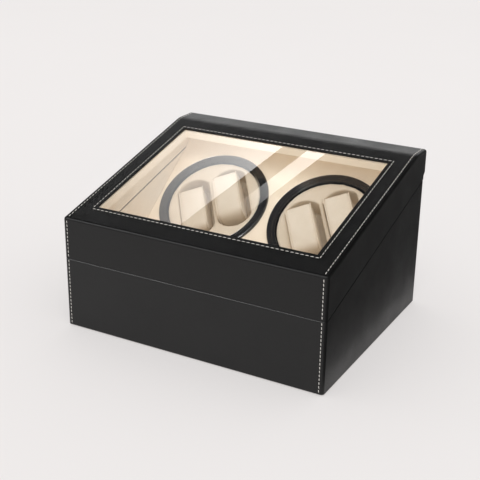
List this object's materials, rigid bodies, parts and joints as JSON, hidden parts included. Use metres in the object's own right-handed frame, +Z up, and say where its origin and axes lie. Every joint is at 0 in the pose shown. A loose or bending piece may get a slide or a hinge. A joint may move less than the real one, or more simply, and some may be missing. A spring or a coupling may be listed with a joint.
{
  "type": "watch winder box",
  "caption": "Leather covered box with a hinged glass lid, an inclined deck with belt driven round turntables for watch pillows, and a row of storage slots.",
  "frame": {"origin": "middle of the underside of the closed box, on the surface that it stands on", "axes": "+X to the right, +Y to the back (the front, with the low edge of the lid, faces -Y), +Z up"},
  "size_m": [0.335, 0.28, 0.2],
  "materials": {
    "black_leather": "fine grained soft satin",
    "cream_lining": "soft brushed cream velour",
    "cream_deck": "smooth cream leatherette",
    "cream_pillow": "soft cream velour over foam",
    "case_board": "raw fibreboard",
    "black_felt": "short pile felt",
    "gloss_black": "piano black",
    "cup_plastic": "moulded satin",
    "drive_plastic": "moulded matt",
    "pulley_plastic": "white acetal",
    "belt_rubber": "matt rubber",
    "steel": "zinc plated satin",
    "bush_brass": "machined",
    "motor_steel": "plated can",
    "circuit_board": "solder mask",
    "component_black": "moulded epoxy",
    "control_plastic": "fine spark texture",
    "lead_black": "soft flex",
    "clear_glass": "clear polished"
  },
  "bodies": {
    "base": {"underside_felt": "black_felt", "base_bottom_panel": "case_board", "base_front_panel": "case_board", "base_back_panel": "case_board", "base_side_panel_left": "case_board", "base_side_panel_right": "case_board", "base_leather_cover": "black_leather", "base_lining": "cream_lining", "storage_partition": "cream_lining", "storage_dividers": "cream_lining", "winder_deck": "cream_deck", "deck_rails": "case_board", "axle_bushes": "bush_brass", "drive_belts": "belt_rubber", "drive_plate_screws": "steel", "control_board": "circuit_board", "board_components": "component_black", "rear_control_plate": "control_plastic", "dc_jack": "control_plastic", "power_switch_housing": "control_plastic", "motor_leads": "lead_black", "hinge_base_leaves": "steel", "hinge_pins": "steel", "bezel_ring_left": "gloss_black", "drive_plate_left": "drive_plastic", "gear_motor_left": "motor_steel", "bezel_ring_right": "gloss_black", "drive_plate_right": "drive_plastic", "gear_motor_right": "motor_steel"},
    "lid": {"lid_top_panel": "case_board", "lid_front_panel": "case_board", "lid_back_panel": "case_board", "lid_side_panel_left": "case_board", "lid_side_panel_right": "case_board", "lid_leather_cover": "black_leather", "lid_lining": "cream_lining", "glass_pane": "clear_glass", "glass_retainer": "cream_deck", "hinge_lid_leaves": "steel"},
    "power_rocker": {"power_rocker": "control_plastic"},
    "turntable_left": {"turntable_cup_left": "cup_plastic", "pocket_block_left": "cream_deck", "axle_screw_left": "steel"},
    "motor_pulley_left": {"motor_pulley_left": "pulley_plastic"},
    "mode_knob_left": {"mode_knob_left": "control_plastic"},
    "winder_pillow_left_left": {"winder_pillow_left_left": "cream_pillow"},
    "winder_pillow_left_right": {"winder_pillow_left_right": "cream_pillow"},
    "turntable_right": {"turntable_cup_right": "cup_plastic", "pocket_block_right": "cream_deck", "axle_screw_right": "steel"},
    "motor_pulley_right": {"motor_pulley_right": "pulley_plastic"},
    "mode_knob_right": {"mode_knob_right": "control_plastic"},
    "winder_pillow_right_left": {"winder_pillow_right_left": "cream_pillow"},
    "winder_pillow_right_right": {"winder_pillow_right_right": "cream_pillow"},
    "storage_pillow_1": {"storage_pillow_1": "cream_pillow"},
    "storage_pillow_2": {"storage_pillow_2": "cream_pillow"},
    "storage_pillow_3": {"storage_pillow_3": "cream_pillow"},
    "storage_pillow_4": {"storage_pillow_4": "cream_pillow"},
    "storage_pillow_5": {"storage_pillow_5": "cream_pillow"},
    "storage_pillow_6": {"storage_pillow_6": "cream_pillow"}
  },
  "joints": [
    {"name": "lid_hinge", "type": "hinge", "parent": "base", "child": "lid", "pos_m": [0, 0.1376, 0.16413], "axis": [-1, 0, 0], "range_deg": [0, 95]},
    {"name": "turntable_left_spin", "type": "hinge", "parent": "base", "child": "turntable_left", "pos_m": [-0.078, 0.0502, 0.1123], "axis": [0, -0.6018, 0.7986], "continuous": true},
    {"name": "motor_left_spin", "type": "hinge", "parent": "base", "child": "motor_pulley_left", "pos_m": [-0.018, 0.04541, 0.10869], "axis": [0, -0.6018, 0.7986], "continuous": true},
    {"name": "winder_pillow_left_left_lift", "type": "slide", "parent": "turntable_left", "child": "winder_pillow_left_left", "axis": [0, -0.6018, 0.7986], "range_m": [0, 0.012]},
    {"name": "winder_pillow_left_right_lift", "type": "slide", "parent": "turntable_left", "child": "winder_pillow_left_right", "axis": [0, -0.6018, 0.7986], "range_m": [0, 0.012]},
    {"name": "turntable_right_spin", "type": "hinge", "parent": "base", "child": "turntable_right", "pos_m": [0.078, 0.0502, 0.1123], "axis": [0, -0.6018, 0.7986], "continuous": true},
    {"name": "motor_right_spin", "type": "hinge", "parent": "base", "child": "motor_pulley_right", "pos_m": [0.018, 0.04541, 0.10869], "axis": [0, -0.6018, 0.7986], "continuous": true},
    {"name": "winder_pillow_right_left_lift", "type": "slide", "parent": "turntable_right", "child": "winder_pillow_right_left", "axis": [0, -0.6018, 0.7986], "range_m": [0, 0.012]},
    {"name": "winder_pillow_right_right_lift", "type": "slide", "parent": "turntable_right", "child": "winder_pillow_right_right", "axis": [0, -0.6018, 0.7986], "range_m": [0, 0.012]},
    {"name": "storage_pillow_1_lift", "type": "slide", "parent": "base", "child": "storage_pillow_1", "axis": [0, 0, 1], "range_m": [0, 0.06]},
    {"name": "storage_pillow_2_lift", "type": "slide", "parent": "base", "child": "storage_pillow_2", "axis": [0, 0, 1], "range_m": [0, 0.06]},
    {"name": "storage_pillow_3_lift", "type": "slide", "parent": "base", "child": "storage_pillow_3", "axis": [0, 0, 1], "range_m": [0, 0.06]},
    {"name": "storage_pillow_4_lift", "type": "slide", "parent": "base", "child": "storage_pillow_4", "axis": [0, 0, 1], "range_m": [0, 0.06]},
    {"name": "storage_pillow_5_lift", "type": "slide", "parent": "base", "child": "storage_pillow_5", "axis": [0, 0, 1], "range_m": [0, 0.06]},
    {"name": "storage_pillow_6_lift", "type": "slide", "parent": "base", "child": "storage_pillow_6", "axis": [0, 0, 1], "range_m": [0, 0.06]},
    {"name": "power_rocker_tilt", "type": "hinge", "parent": "base", "child": "power_rocker", "pos_m": [-0.036, 0.1275, 0.037], "axis": [1, 0, 0], "range_deg": [0, 20]},
    {"name": "mode_knob_left_turn", "type": "hinge", "parent": "base", "child": "mode_knob_left", "pos_m": [-0.006, 0.131, 0.037], "axis": [0, 1, 0], "range_deg": [-90, 90]},
    {"name": "mode_knob_right_turn", "type": "hinge", "parent": "base", "child": "mode_knob_right", "pos_m": [0.016, 0.131, 0.037], "axis": [0, 1, 0], "range_deg": [-90, 90]}
  ],
  "couplings": [
    {"joint": "motor_left_spin", "follows": "turntable_left_spin", "ratio": 5.625},
    {"joint": "motor_right_spin", "follows": "turntable_right_spin", "ratio": 5.625}
  ]
}
